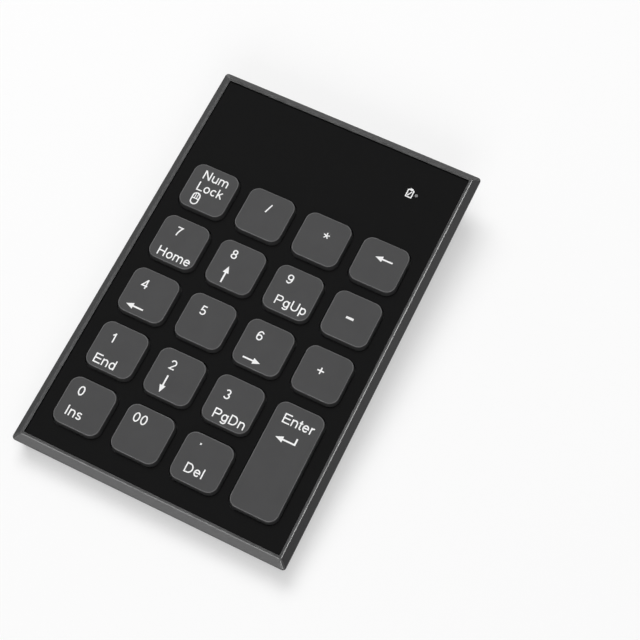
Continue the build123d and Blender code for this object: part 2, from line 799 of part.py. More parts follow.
# --- Leads from the contacts to the board ---
def lead_route(start_x, y):
    """A lead that runs level to the right and then turns up under the board."""
    with BuildLine() as route:
        FilletPolyline((start_x, y, lead_z), (lead_end_x, y, lead_z), (lead_end_x, y, board_bottom),
                       radius=lead_bend)
    return route.line


with BuildPart() as battery_leads:
    for start_x, y in ((spring_left, rear_lead_y), (bay_right, front_lead_y)):
        with BuildSketch(Plane(origin=(start_x, y, lead_z), z_dir=(1, 0, 0))):
            Circle(lead_diameter / 2)
        sweep(path=lead_route(start_x, y))
pieces["battery_leads"] = battery_leads.part


# --- Board, clamp and parts ---
with BuildPart() as circuit_board:
    with BuildSketch(level(board_bottom)):
        with Locations((board_x, hump_y)):
            RectangleRounded(board_width, board_length, board_corner)
        with Locations(clamp_screws):
            Circle(screw_radius + screw_free_fit, mode=Mode.SUBTRACT)
    extrude(amount=board_thickness)
pieces["circuit_board"] = circuit_board.part

with BuildPart() as controller_chip:
    with BuildSketch(level(board_top)):
        with Locations((board_x + chip_offset_x, hump_y + chip_offset_y)):
            Rectangle(chip_size, chip_size)
    extrude(amount=chip_height)
    chamfer(controller_chip.faces().sort_by(Axis.Z)[-1].edges(), chip_chamfer)
pieces["controller_chip"] = controller_chip.part

with BuildPart() as membrane_clamp:
    clamp_bottom = board_top + sheet_thickness
    with BuildSketch(level(clamp_bottom)):
        with Locations((board_x, clamp_y)):
            Rectangle(board_width, clamp_depth)
        with Locations(clamp_screws):
            Circle(screw_radius + screw_free_fit, mode=Mode.SUBTRACT)
    extrude(amount=clamp_height)
pieces["membrane_clamp"] = membrane_clamp.part

with BuildPart() as indicator_led:
    with BuildSketch(level(board_top)):
        with Locations((light_x, light_y)):
            Rectangle(light_length, light_width)
    extrude(amount=light_height)
pieces["indicator_led"] = indicator_led.part

with BuildPart() as light_pipe:
    pipe_foot = board_top + light_height + pipe_gap
    with BuildSketch(level(pipe_foot)):
        with Locations((light_x, light_y)):
            Circle(pipe_radius)
    extrude(amount=deck_top - pipe_foot)
    with BuildSketch(level(deck_bottom)):
        with Locations((light_x, light_y)):
            Circle(pipe_collar_radius)
    extrude(amount=-pipe_collar_height)
    with BuildSketch(level(deck_top)):
        with Locations((light_x, light_y)):
            Circle(pipe_tip_radius)
    extrude(amount=plate_thickness)
pieces["light_pipe"] = light_pipe.part


# --- Power switch ---
with BuildPart() as switch_body:
    with BuildSketch(level(board_bottom)):
        with Locations((switch_x, switch_y)):
            Rectangle(switch_length, switch_width)
    extrude(amount=-switch_height)
    with BuildSketch(level(switch_bottom)):
        with Locations((switch_x, switch_y)):
            Rectangle(knob_length + switch_travel + knob_gap, knob_width + knob_gap)
    extrude(amount=switch_socket, mode=Mode.SUBTRACT)
pieces["switch_body"] = switch_body.part

knob_x = switch_x - switch_travel / 2
knob_top = switch_bottom + switch_socket - knob_gap
pad_top = hump_bottom + recess_depth - knob_gap
with BuildPart() as switch_knob:
    with BuildSketch(level(pad_top)):
        with Locations((knob_x, switch_y)):
            Rectangle(knob_length, knob_width)
    extrude(amount=knob_top - pad_top)
    with BuildSketch(level(pad_top)):
        with Locations((knob_x, switch_y)):
            Rectangle(knob_pad_length, knob_pad_width)
    extrude(amount=-knob_pad_height)
    # ridges for the fingernail
    with BuildSketch(level(pad_top - knob_pad_height)):
        with Locations((knob_x, switch_y)):
            with GridLocations(knob_ridge_pitch, 0, knob_ridges, 1):
                Rectangle(knob_ridge_width, knob_pad_width)
    extrude(amount=knob_ridge_depth, mode=Mode.SUBTRACT)
pieces["switch_knob"] = switch_knob.part


# --- Screws ---
# each is (x, y, height of the seat under its head, 1 if the shank points up or -1 if down)
screw_places = [(x, y, screw_seat, 1) for x, y in case_screws]
screw_places += [(x, y, clamp_bottom + clamp_height, -1) for x, y in clamp_screws]
with BuildPart() as screws:
    for x, y, seat_height, way in screw_places:
        with BuildSketch(level(seat_height, x, y)):
            Circle(screw_head_radius)
        extrude(amount=-way * screw_head_height)
        with BuildSketch(level(seat_height, x, y)):
            Circle(screw_radius)
        extrude(amount=way * screw_length)
        with BuildSketch(level(seat_height - way * screw_head_height, x, y)):
            Rectangle(cross_length, cross_width)
            Rectangle(cross_width, cross_length)
        extrude(amount=way * cross_depth, mode=Mode.SUBTRACT)
pieces["screws"] = screws.part


# --- Feet, cut along the desk ---
front_foot_z = case_bottom - foot_height
rear_foot_z = hump_bottom - foot_height
tilt = atan2(front_foot_z - rear_foot_z, rear_foot_y - front_foot_y)
desk = Plane(origin=(0, front_foot_y, front_foot_z), x_dir=(1, 0, 0), z_dir=(0, sin(tilt), cos(tilt)))

with BuildPart() as rubber_feet:
    for foot_at_x, foot_at_y, bottom in feet:
        with BuildSketch(level(bottom + foot_seat, foot_at_x, foot_at_y)):
            RectangleRounded(foot_length, foot_width, foot_corner)
        extrude(amount=-foot_seat - 2 * foot_height)
    split(bisect_by=desk, keep=Keep.TOP)
pieces["rubber_feet"] = rubber_feet.part


# --- Seat the keypad on the desk and write each piece ---
tilted = Location((0, 0, 0), (degrees(tilt), 0, 0))
plan = Compound(children=[top_frame.part.moved(tilted), bottom_case.part.moved(tilted)]).bounding_box()
lift = -(front_foot_y * sin(tilt) + front_foot_z * cos(tilt))
seat = Location((0, -(plan.min.Y + plan.max.Y) / 2, lift), (degrees(tilt), 0, 0))

os.makedirs("parts", exist_ok=True)
for label, piece in pieces.items():
    seated = piece.moved(seat)
    seated.label = label
    export_step(seated, f"parts/{label}.step")
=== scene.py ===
import json
from math import cos, pi, radians, sin

import bmesh
import bpy
from mathutils import Matrix, Vector


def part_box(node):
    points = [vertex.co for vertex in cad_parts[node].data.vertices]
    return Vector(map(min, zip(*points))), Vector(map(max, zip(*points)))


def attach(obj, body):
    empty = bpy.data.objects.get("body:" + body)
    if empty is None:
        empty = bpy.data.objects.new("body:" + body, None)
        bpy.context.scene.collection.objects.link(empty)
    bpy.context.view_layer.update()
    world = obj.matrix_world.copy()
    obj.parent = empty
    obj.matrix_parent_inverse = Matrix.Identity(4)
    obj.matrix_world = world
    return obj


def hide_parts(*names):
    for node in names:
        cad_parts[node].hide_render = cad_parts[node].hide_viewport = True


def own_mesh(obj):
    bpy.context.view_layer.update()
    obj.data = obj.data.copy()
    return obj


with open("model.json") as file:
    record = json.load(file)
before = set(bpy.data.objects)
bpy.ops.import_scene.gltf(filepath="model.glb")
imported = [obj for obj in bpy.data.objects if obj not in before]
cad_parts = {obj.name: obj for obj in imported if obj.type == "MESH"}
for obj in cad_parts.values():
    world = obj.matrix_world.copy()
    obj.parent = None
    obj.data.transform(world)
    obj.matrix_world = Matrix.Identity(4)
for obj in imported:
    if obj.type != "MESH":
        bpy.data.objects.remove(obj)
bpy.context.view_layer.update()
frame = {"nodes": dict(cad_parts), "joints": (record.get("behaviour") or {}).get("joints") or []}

# A wireless numeric keypad on a pale table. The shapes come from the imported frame; this
# script adds the finishes, the printed legends, the rubber domes, the light and the camera.

MM = 0.001

# --- Deck frame: axes along the keypad's sloping top, from the way its keys move ---
press_axis = next(Vector(joint["axis"]) for joint in frame["joints"] if joint["name"] == "press_5")
deck_up = -press_axis.normalized()
deck_right = Vector((1, 0, 0))
deck_back = deck_up.cross(deck_right)
deck_turn = Matrix((deck_right, deck_back, deck_up)).transposed().to_4x4()


def deck_box(node):
    """The lowest and highest corners of a node along the deck's own axes."""
    corners = [deck_turn.inverted() @ vertex.co for vertex in frame["nodes"][node].data.vertices]
    low = Vector([min(corner[axis] for corner in corners) for axis in range(3)])
    high = Vector([max(corner[axis] for corner in corners) for axis in range(3)])
    return low, high


def place_on_deck(x, y, height):
    """A matrix that takes a flat drawing in millimetres to a place on the deck."""
    return deck_turn @ Matrix.Translation((x, y, height)) @ Matrix.Scale(MM, 4)


# --- Shader helpers ---
# How far a face turns up, from 0 on an upright side to 1 on the deck, where a side gives way to
# its rounded edge, and the edge to the top.
side_turn = (0.775, 0.81)
top_turn = (0.96, 0.995)

# Sizes of the uneven patches in moulded plastic and in metal.
mottle_size = 6 * MM
# patches in the lighter edges, which are wear and painted highlight
rub_and_highlight_size = 2.5 * MM
gloss_size = 1.5 * MM
sink_size = 9 * MM
stain_size = 3 * MM
sheen_size = 0.8 * MM


def start_material(name):
    """An empty node material with its Principled shader."""
    material = bpy.data.materials.new(name)
    material.use_nodes = True
    return material, material.node_tree, material.node_tree.nodes["Principled BSDF"]


def add_node(tree, kind, values=(), **settings):
    """A shader node with its settings, and its inputs set by name from (name, value) pairs."""
    node = tree.nodes.new(kind)
    for setting, value in settings.items():
        setattr(node, setting, value)
    for name, value in values:
        node.inputs[name].default_value = value
    return node


def noise(tree, feature, detail=3.0, roughness=0.55):
    """Noise in the keypad's own space, with features of a given size in metres."""
    place = add_node(tree, "ShaderNodeTexCoord")
    texture = add_node(tree, "ShaderNodeTexNoise",
                       [("Scale", 1 / feature), ("Detail", detail), ("Roughness", roughness)])
    tree.links.new(place.outputs["Object"], texture.inputs["Vector"])
    return texture.outputs["Fac"]


def remap(tree, source, low, high, source_low=0.3, source_high=0.7):
    """A value that runs from low to high as its source crosses a range."""
    node = add_node(tree, "ShaderNodeMapRange", [("From Min", source_low), ("From Max", source_high),
                                                 ("To Min", low), ("To Max", high)])
    tree.links.new(source, node.inputs["Value"])
    return node.outputs["Result"]


def mix_colours(tree, factor, first, second):
    """A colour between two, each of which is an RGB triple or another node's output."""
    node = add_node(tree, "ShaderNodeMix", data_type="RGBA")
    colour_inputs = [socket for socket in node.inputs if socket.type == "RGBA"]
    tree.links.new(factor, node.inputs[0])
    for socket, colour in zip(colour_inputs, (first, second)):
        if isinstance(colour, bpy.types.NodeSocket):
            tree.links.new(colour, socket)
        else:
            socket.default_value = (*colour, 1)
    return next(socket for socket in node.outputs if socket.type == "RGBA")


def combine(tree, operation, first, second):
    """The result of a sum on two values, each of which is a number or another node's output."""
    node = add_node(tree, "ShaderNodeMath", operation=operation)
    for socket, value in zip(node.inputs, (first, second)):
        if isinstance(value, bpy.types.NodeSocket):
            tree.links.new(value, socket)
        else:
            socket.default_value = value
    return node.outputs["Value"]


def mix_shaders(tree, factor, first, second):
    """The output of a mix of two shaders."""
    mix = add_node(tree, "ShaderNodeMixShader")
    tree.links.new(factor, mix.inputs["Fac"])
    tree.links.new(first, mix.inputs[1])
    tree.links.new(second, mix.inputs[2])
    return mix.outputs["Shader"]


def seen_rays(tree):
    """1 for the rays that show the background: the camera's, and those off gloss and through glass."""
    path = add_node(tree, "ShaderNodeLightPath")
    direct = combine(tree, "MAXIMUM", path.outputs["Is Camera Ray"], path.outputs["Is Glossy Ray"])
    return combine(tree, "MAXIMUM", direct, path.outputs["Is Transmission Ray"])


def rounded_edges(tree, with_top=False):
    """About 1 on the rounded edges round a top, and if asked on the top, and 0 on the sides."""
    place = add_node(tree, "ShaderNodeTexCoord")
    upward = add_node(tree, "ShaderNodeVectorMath", operation="DOT_PRODUCT")
    tree.links.new(place.outputs["Normal"], upward.inputs[0])
    upward.inputs[1].default_value = deck_up
    above_side = remap(tree, upward.outputs["Value"], 0.0, 1.0, *side_turn)
    if with_top:
        return above_side
    below_top = remap(tree, upward.outputs["Value"], 1.0, 0.0, *top_turn)
    return combine(tree, "MULTIPLY", above_side, below_top)


def add_bumps(tree, shader, layers):
    """Bumps on top of each other, each given as (height source, depth in metres)."""
    previous = None
    for source, depth in layers:
        bump = add_node(tree, "ShaderNodeBump", [("Strength", 1.0), ("Distance", depth)])
        tree.links.new(source, bump.inputs["Height"])
        if previous:
            tree.links.new(previous.outputs["Normal"], bump.inputs["Normal"])
        previous = bump
    tree.links.new(previous.outputs["Normal"], shader.inputs["Normal"])


def moulded(name, colour, roughness, specular=0.5, grain=0.12 * MM, grain_depth=0.004 * MM, edge_wear_and_highlight=0.02,
            polish=0.1, spread=0.06, wave_depth=0.003 * MM, wear_and_highlight_on_top=False):
    """Moulded plastic or rubber: fine mould texture, faint sink waves, mottling and lighter rounded edges.

    The edges, and a narrow top with them if asked, are painted lighter, partly for wear from handling and
    partly as a painted highlight where light glints on them; polish makes them smoother.
    """
    material, tree, shader = start_material(name)
    darker = [0.9 * channel for channel in colour]
    lighter = [1.1 * channel for channel in colour]
    # lighter edge colour: partly wear, partly a painted highlight standing for the glints along the edges
    worn_and_highlit = [channel + edge_wear_and_highlight for channel in colour]
    mottled = mix_colours(tree, noise(tree, mottle_size), darker, lighter)
    edges = rounded_edges(tree, wear_and_highlight_on_top)
    # patchy mask of the painted highlight and wear on the rounded edges
    rubbed_and_highlit = combine(tree, "MULTIPLY", edges, remap(tree, noise(tree, rub_and_highlight_size), 0.5, 1.0))
    tree.links.new(mix_colours(tree, rubbed_and_highlit, mottled, worn_and_highlit), shader.inputs["Base Color"])
    gloss = remap(tree, noise(tree, gloss_size, detail=5), roughness - spread, roughness + spread)
    smoother = combine(tree, "MULTIPLY", edges, polish)
    tree.links.new(combine(tree, "SUBTRACT", gloss, smoother), shader.inputs["Roughness"])
    shader.inputs["Specular IOR Level"].default_value = specular
    sinks = noise(tree, sink_size, detail=1)
    add_bumps(tree, shader, [(sinks, wave_depth), (noise(tree, grain), grain_depth)])
    return material


def metal(name, colour, roughness, stretch=(1, 1, 1), grain=0.1 * MM, grain_depth=0.002 * MM, stain=0.7):
    """Bare or plated metal with rolling or drawing marks along one way, and dull patches."""
    material, tree, shader = start_material(name)
    shader.inputs["Metallic"].default_value = 1.0
    dull = [stain * channel for channel in colour]
    patches = remap(tree, noise(tree, stain_size, detail=6), 0.0, 1.0, 0.45, 0.75)
    tree.links.new(mix_colours(tree, patches, colour, dull), shader.inputs["Base Color"])
    gloss = remap(tree, noise(tree, sheen_size, detail=6), roughness * 0.8, roughness * 1.3)
    tree.links.new(gloss, shader.inputs["Roughness"])
    place = add_node(tree, "ShaderNodeTexCoord")
    scale = add_node(tree, "ShaderNodeMapping", [("Scale", stretch)])
    marks = add_node(tree, "ShaderNodeTexNoise", [("Scale", 1 / grain), ("Detail", 4.0)])
    tree.links.new(place.outputs["Object"], scale.inputs["Vector"])
    tree.links.new(scale.outputs["Vector"], marks.inputs["Vector"])
    add_bumps(tree, shader, [(marks.outputs["Fac"], grain_depth)])
    return material


def split_by_axis(tree, axis, steps):
    """A colour that changes along one axis; steps are (start in metres, colour), lowest first."""
    place = add_node(tree, "ShaderNodeTexCoord")
    parts = add_node(tree, "ShaderNodeSeparateXYZ")
    tree.links.new(place.outputs["Object"], parts.inputs["Vector"])
    colour = steps[0][1]
    for start, next_colour in steps[1:]:
        past = remap(tree, parts.outputs[axis], 0.0, 1.0, start, start + 0.02 * MM)
        colour = mix_colours(tree, past, colour, next_colour)
    return colour


# --- Finishes ---
def cell_jacket(name):
    """A plain wrapped cell: a printed sleeve with one band, and bare metal at both ends."""
    low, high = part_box("battery")
    material, tree, shader = start_material(name)
    steel = (0.62, 0.62, 0.62)
    sleeve = (0.05, 0.09, 0.16)
    band = (0.45, 0.45, 0.44)
    bare_left = 0.6 * MM
    bare_right = 1.4 * MM
    band_reach = 10 * MM        # from the right end to where the band starts
    sleeve_start = low.x + bare_left
    band_start = high.x - band_reach
    sleeve_end = high.x - bare_right
    colour = split_by_axis(tree, "X", [(low.x, steel), (sleeve_start, sleeve), (band_start, band),
                                       (sleeve_end, steel)])
    tree.links.new(colour, shader.inputs["Base Color"])
    metallic = (1, 1, 1)
    plain = (0, 0, 0)
    bare = split_by_axis(tree, "X", [(low.x, metallic), (sleeve_start, plain), (sleeve_end, metallic)])
    tree.links.new(bare, shader.inputs["Metallic"])
    tree.links.new(remap(tree, noise(tree, 1 * MM), 0.22, 0.34), shader.inputs["Roughness"])
    add_bumps(tree, shader, [(noise(tree, 0.8 * MM), 0.008 * MM)])
    return material


def lead_insulation(name):
    """Red insulation on the lead from the plus contact, and black on the one from the spring."""
    material, tree, shader = start_material(name)
    low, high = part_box("battery_leads")
    red = (0.3, 0.02, 0.015)
    black = (0.02, 0.02, 0.02)
    colour = split_by_axis(tree, "Y", [(low.y, red), ((low.y + high.y) / 2, black)])
    shade = remap(tree, noise(tree, 2 * MM), 0.0, 0.3)
    tree.links.new(mix_colours(tree, shade, colour, (0.05, 0.03, 0.03)), shader.inputs["Base Color"])
    tree.links.new(remap(tree, noise(tree, 0.6 * MM), 0.35, 0.5), shader.inputs["Roughness"])
    add_bumps(tree, shader, [(noise(tree, 0.3 * MM), 0.01 * MM)])
    return material


def film(name):
    """Clear polyester film with silver printed tracks."""
    material, tree, shader = start_material(name)
    place = add_node(tree, "ShaderNodeTexCoord")
    wave = add_node(tree, "ShaderNodeTexWave", [("Scale", 110.0), ("Distortion", 0.6), ("Detail", 0.0)],
                    bands_direction="X")
    tree.links.new(place.outputs["Object"], wave.inputs["Vector"])
    track = remap(tree, wave.outputs["Fac"], 0.0, 1.0, 0.86, 0.9)
    clear = (0.72, 0.75, 0.76)
    silver = (0.4, 0.41, 0.42)
    tree.links.new(mix_colours(tree, track, clear, silver), shader.inputs["Base Color"])
    tree.links.new(remap(tree, noise(tree, 4 * MM), 0.12, 0.25), shader.inputs["Roughness"])
    shader.inputs["Transmission Weight"].default_value = 0.35
    add_bumps(tree, shader, [(noise(tree, 8 * MM), 0.05 * MM)])
    return material


def laminate(name):
    """A green solder mask with copper under it, and bare tinned pads."""
    material, tree, shader = start_material(name)
    place = add_node(tree, "ShaderNodeTexCoord")
    cells = add_node(tree, "ShaderNodeTexVoronoi", [("Scale", 900.0)], distance="MANHATTAN")
    tree.links.new(place.outputs["Object"], cells.inputs["Vector"])
    copper = remap(tree, cells.outputs["Distance"], 0.0, 1.0, 0.42, 0.5)
    pads = remap(tree, cells.outputs["Distance"], 1.0, 0.0, 0.1, 0.12)
    bare_mask = (0.015, 0.14, 0.05)
    mask_on_copper = (0.03, 0.24, 0.09)
    tin = (0.6, 0.6, 0.58)
    mask = mix_colours(tree, copper, bare_mask, mask_on_copper)
    tree.links.new(mix_colours(tree, pads, mask, tin), shader.inputs["Base Color"])
    tree.links.new(remap(tree, noise(tree, 1 * MM), 0.2, 0.35), shader.inputs["Roughness"])
    add_bumps(tree, shader, [(copper, 0.02 * MM)])
    return material


def dome_rubber(name):
    """Milky silicone rubber."""
    material = moulded(name, (0.68, 0.68, 0.65), 0.5, grain=0.3 * MM, edge_wear_and_highlight=0.0)
    shader = material.node_tree.nodes["Principled BSDF"]
    shader.inputs["Subsurface Weight"].default_value = 0.4
    shader.inputs["Subsurface Radius"].default_value = (0.6 * MM, 0.6 * MM, 0.5 * MM)
    return material


def clear_plastic(name):
    """The light pipe: pale grey plastic under a thin coat."""
    material = moulded(name, (0.17, 0.17, 0.17), 0.3, grain=0.2 * MM, edge_wear_and_highlight=0.0)
    shader = material.node_tree.nodes["Principled BSDF"]
    shader.inputs["Coat Weight"].default_value = 0.3
    return material


finishes = {
    # the frame's lighter edges and lip are a painted highlight for the bright lines along its crease, with
    # some wear
    "frame_plastic": moulded("frame_plastic", (0.009, 0.009, 0.0094), 0.32, specular=0.2, grain=0.1 * MM,
                             edge_wear_and_highlight=0.06, polish=0.08, spread=0.03, wear_and_highlight_on_top=True),
    "panel_plastic": moulded("panel_plastic", (0.0035, 0.0035, 0.0036), 0.3, specular=0.07,
                             grain_depth=0.002 * MM, edge_wear_and_highlight=0.0, spread=0.015),
    # the keys' lighter rims are a painted highlight for the bright lines along their top edges, with some
    # wear
    "key_plastic": moulded("key_plastic", (0.052, 0.052, 0.053), 0.34, specular=0.22, grain=0.14 * MM,
                           edge_wear_and_highlight=0.12, polish=0.12, spread=0.03),
    "case_plastic": moulded("case_plastic", (0.018, 0.018, 0.019), 0.55, grain=0.25 * MM,
                            grain_depth=0.02 * MM),
    "knob_plastic": moulded("knob_plastic", (0.09, 0.09, 0.092), 0.42, grain=0.1 * MM),
    "inner_plastic": moulded("inner_plastic", (0.1, 0.1, 0.1), 0.5),
    "chip_resin": moulded("chip_resin", (0.02, 0.02, 0.02), 0.45, grain=0.08 * MM),
    "foot_rubber": moulded("foot_rubber", (0.032, 0.032, 0.032), 0.8, specular=0.3, grain=0.2 * MM,
                           grain_depth=0.02 * MM, edge_wear_and_highlight=0.01),
    "dome_rubber": dome_rubber("dome_rubber"),
    "clear_plastic": clear_plastic("clear_plastic"),
    "polyester_sheet": film("polyester_sheet"),
    "board_laminate": laminate("board_laminate"),
    "cell_jacket": cell_jacket("cell_jacket"),
    "lead_insulation": lead_insulation("lead_insulation"),
    "spring_wire": metal("spring_wire", (0.7, 0.7, 0.69), 0.25),
    "contact_metal": metal("contact_metal", (0.75, 0.72, 0.66), 0.25),
    "zinc_steel": metal("zinc_steel", (0.55, 0.56, 0.57), 0.4, stretch=(0.05, 1, 1),
                        grain_depth=0.006 * MM),
    "screw_steel": metal("screw_steel", (0.22, 0.22, 0.23), 0.35),
}
ink = moulded("legend_ink", (0.86, 0.86, 0.86), 0.5, grain=0.08 * MM, edge_wear_and_highlight=0.0)

for node in frame["nodes"].values():
    slot_name = node.data.materials[0].name.split(".")[0]
    node.data.materials[0] = finishes[slot_name]


# --- Printed legends ---
ink_height = 0.02           # millimetres above the surface it is printed on
ink_sunk = 0.02             # and below it, so that no gap shows
ink_step = 0.001            # each stroke is this much higher than the one before, so none coincide
arrow_length = 5.6
arrow_head = 2.3
arrow_head_width = 1.9
return_reach = 0.7          # the shaft of the Enter arrow is this much longer than the others
return_rise = 1.9           # and turns up by this
stroke = 0.5
star_stroke = 0.36
plus_stroke = 0.42
least_mitre = 0.5           # keeps a sharp turn from being drawn out into a long point

# The letters are drawn as strokes in units of the height of a capital.
letter_height = 3.0
letter_stroke = 0.135
base = letter_stroke / 2
top = 1 - base
small_top = 0.725           # top of small letters without ascenders
small_middle = small_top / 2
small_reach = small_middle - base + 0.01
drop = -0.27                # how far p reaches below the line


def arc(x, y, reach_x, reach_y, start, end, steps=12):
    """Points along part of an ellipse, between two angles in degrees."""
    turns = [radians(start + (end - start) * step / steps) for step in range(steps + 1)]
    return [(x + reach_x * cos(turn), y + reach_y * sin(turn)) for turn in turns]


def ring(x, y, reach_x, reach_y, steps=24):
    """A whole ellipse; its first point isn't repeated, and add_text closes it."""
    return ("closed", arc(x, y, reach_x, reach_y, 0, 360 - 360 / steps, steps - 1))


def stem(x, low=0.0, high=1.0):
    """An upright stroke."""
    return [(x, low), (x, high)]


six = (
    ring(0.39, 0.315, 0.25, 0.25),
    arc(0.43, 0.51, 0.29, 0.425, 38, 180) + [(0.14, 0.33)],
)

# each glyph is its advance and its strokes
glyphs = {
    "N": (1.008, stem(0.175), [(0.2, 0.96), (0.81, 0.04)], stem(0.835)),
    "L": (0.777, [(0.165, 1), (0.165, base), (0.74, base)]),
    "H": (1.008, stem(0.175), stem(0.835), [(0.175, 0.53), (0.835, 0.53)]),
    "P": (0.931, stem(0.17), [(0.17, top)] + arc(0.57, 0.7, 0.23, 0.235, 90, -90) + [(0.17, 0.465)]),
    "U": (1.008, [(0.17, 1)] + arc(0.5, 0.36, 0.33, 0.295, 180, 360) + [(0.83, 1)]),
    "E": (0.931, [(0.86, top), (0.17, top), (0.17, base), (0.88, base)], [(0.17, 0.52), (0.82, 0.52)]),
    "D": (1.008, ("closed", [(0.17, base), (0.17, top)] + arc(0.45, 0.5, 0.4, 0.5 - base, 90, -90))),
    "I": (0.388, stem(0.195)),
    "c": (0.698, arc(0.365, small_middle, 0.25, small_reach, 42, 318)),
    "d": (0.777, ring(0.385, small_middle, 0.25, small_reach), stem(0.635)),
    "e": (0.777, [(0.14, 0.385)] + arc(0.388, small_middle, 0.255, small_reach, 4, 322)),
    "g": (0.777, ring(0.385, small_middle, 0.25, small_reach),
          [(0.635, small_top)] + arc(0.385, 0.0, 0.25, 0.205, 0, -152)),
    "k": (0.698, stem(0.14), [(0.58, 0.725), (0.16, 0.3)], [(0.3, 0.43), (0.62, 0.02)]),
    "l": (0.31, stem(0.155)),
    "m": (1.163, stem(0.14, 0, small_top),
          [(0.14, 0.4)] + arc(0.36, 0.445, 0.22, 0.225, 180, 0) + [(0.58, 0)],
          [(0.58, 0.4)] + arc(0.8, 0.445, 0.22, 0.225, 180, 0) + [(1.02, 0)]),
    "n": (0.777, stem(0.14, 0, small_top),
          [(0.14, 0.38)] + arc(0.39, 0.43, 0.25, 0.24, 180, 0) + [(0.64, 0)]),
    "o": (0.777, ring(0.388, small_middle, 0.262, small_reach)),
    "p": (0.777, stem(0.145, drop, small_top), ring(0.395, small_middle, 0.25, small_reach)),
    "r": (0.465, stem(0.14, 0, small_top), [(0.14, 0.38)] + arc(0.37, 0.42, 0.23, 0.245, 180, 72)),
    "s": (0.698, arc(0.35, 0.525, 0.2, 0.145, 22, 250) + arc(0.35, 0.205, 0.215, 0.15, 70, -158)),
    "t": (0.388, [(0.19, 0.93)] + arc(0.3, 0.17, 0.11, 0.105, 180, 270) + [(0.37, base)],
          [(0.03, 0.665), (0.37, 0.665)]),
    "u": (0.777, stem(0.64, 0, small_top), [(0.14, small_top)] + arc(0.39, 0.3, 0.25, 0.245, 180, 360)),
    "0": (0.777, ring(0.388, 0.5, 0.255, 0.5 - base)),
    "1": (0.777, stem(0.44), [(0.17, 0.72), (0.32, 0.8), (0.44, 0.97)]),
    "2": (0.777, arc(0.38, 0.68, 0.245, 0.255, 170, -38) + [(0.15, base), (0.65, base)]),
    "3": (0.777, arc(0.365, 0.715, 0.21, 0.22, 155, -85), arc(0.37, 0.285, 0.25, 0.22, 88, -160)),
    "4": (0.777, stem(0.53), [(0.52, 0.95), (0.1, 0.295), (0.7, 0.295)]),
    "5": (0.777, [(0.62, top), (0.235, top), (0.175, 0.49)] + arc(0.375, 0.315, 0.255, 0.25, 135, -155)),
    "6": (0.777, *six),
    "7": (0.777, [(0.12, top), (0.64, top), (0.46, 0.64), (0.35, 0.33), (0.3, 0)]),
    "8": (0.777, ring(0.388, 0.725, 0.205, 0.21), ring(0.388, 0.29, 0.25, 0.225)),
    "/": (0.388, [(0.03, 0.0), (0.36, 1.0)]),
}
glyphs["9"] = (0.777, ("closed", [(0.777 - x, 1 - y) for x, y in six[0][1]]),
               [(0.777 - x, 1 - y) for x, y in six[1]])


def add_stroke(drawing, points, width, closed=False, lift=0.0):
    """A line of even width along points, mitred where it turns."""
    points = [Vector(point) for point in points]
    last = len(points) - 1
    rows = []
    for index, point in enumerate(points):
        before = points[index - 1] if index > 0 or closed else None
        after = points[(index + 1) % len(points)] if index < last or closed else None
        ways = []
        if before is not None:
            ways.append((point - before).normalized())
        if after is not None:
            ways.append((after - point).normalized())
        way = sum(ways, Vector((0, 0))).normalized()
        mitre = width / 2 / max(way.dot(ways[0]), least_mitre)
        side = Vector((-way.y, way.x)) * mitre
        corners = ((1, ink_height + lift), (-1, ink_height + lift), (-1, -ink_sunk), (1, -ink_sunk))
        rows.append([drawing.verts.new((*(point + side * sign), height)) for sign, height in corners])
    pairs = list(zip(rows, rows[1:])) + ([(rows[-1], rows[0])] if closed else [])
    for first, second in pairs:
        for corner in range(4):
            following = (corner + 1) % 4
            drawing.faces.new((first[corner], first[following], second[following], second[corner]))
    if not closed:
        drawing.faces.new(rows[0])
        drawing.faces.new(reversed(rows[-1]))


def add_text(drawing, text, x, y, height=letter_height):
    """Letters whose ink starts at x and stands on the line y."""
    pen = 0.0
    lines = []
    for letter in text:
        advance, *strokes = glyphs[letter]
        for line in strokes:
            closed = line[0] == "closed"
            points = line[1] if closed else line
            lines.append((closed, [(pen + point_x, point_y) for point_x, point_y in points]))
        pen += advance
    start = min(point_x for closed, points in lines for point_x, point_y in points) - base
    for number, (closed, points) in enumerate(lines):
        placed = [(x + (point_x - start) * height, y + point_y * height) for point_x, point_y in points]
        add_stroke(drawing, placed, letter_stroke * height, closed, number * ink_step)


def add_plate(drawing, outline):
    """A flat plate of ink with the given outline, as (x, y) points."""
    lower = [drawing.verts.new((x, y, -ink_sunk)) for x, y in outline]
    upper = [drawing.verts.new((x, y, ink_height)) for x, y in outline]
    drawing.faces.new(upper)
    drawing.faces.new(reversed(lower))
    for index in range(len(outline)):
        following = (index + 1) % len(outline)
        drawing.faces.new((lower[index], lower[following], upper[following], upper[index]))


def add_bar(drawing, start, end, width=stroke, lift=0.0):
    """A straight stroke between two points."""
    add_stroke(drawing, (start, end), width, lift=lift)


def add_arrow(drawing, tip, way, length=arrow_length):
    """An arrow with a filled head; way is the unit direction it points in."""
    tip = Vector(tip)
    way = Vector(way)
    side = Vector((-way.y, way.x))
    neck = tip - way * arrow_head
    tail = tip - way * length
    barb = side * arrow_head_width / 2
    shaft = side * stroke / 2
    outline = [tip, neck + barb, neck + shaft, tail + shaft, tail - shaft, neck - shaft, neck - barb]
    add_plate(drawing, [(point.x, point.y) for point in outline])


def add_loop(drawing, x, y, width, length, corner, line):
    """A rounded rectangle drawn as a line, with (x, y) at its middle."""
    inner_x = (width - line) / 2 - corner
    inner_y = (length - line) / 2 - corner
    corner_steps = 6
    points = []
    for quarter, (side_x, side_y) in enumerate(((1, 1), (-1, 1), (-1, -1), (1, -1))):
        start = quarter * 90
        points += arc(x + side_x * inner_x, y + side_y * inner_y, corner, corner, start, start + 90,
                      corner_steps)
    add_stroke(drawing, points, line, closed=True)


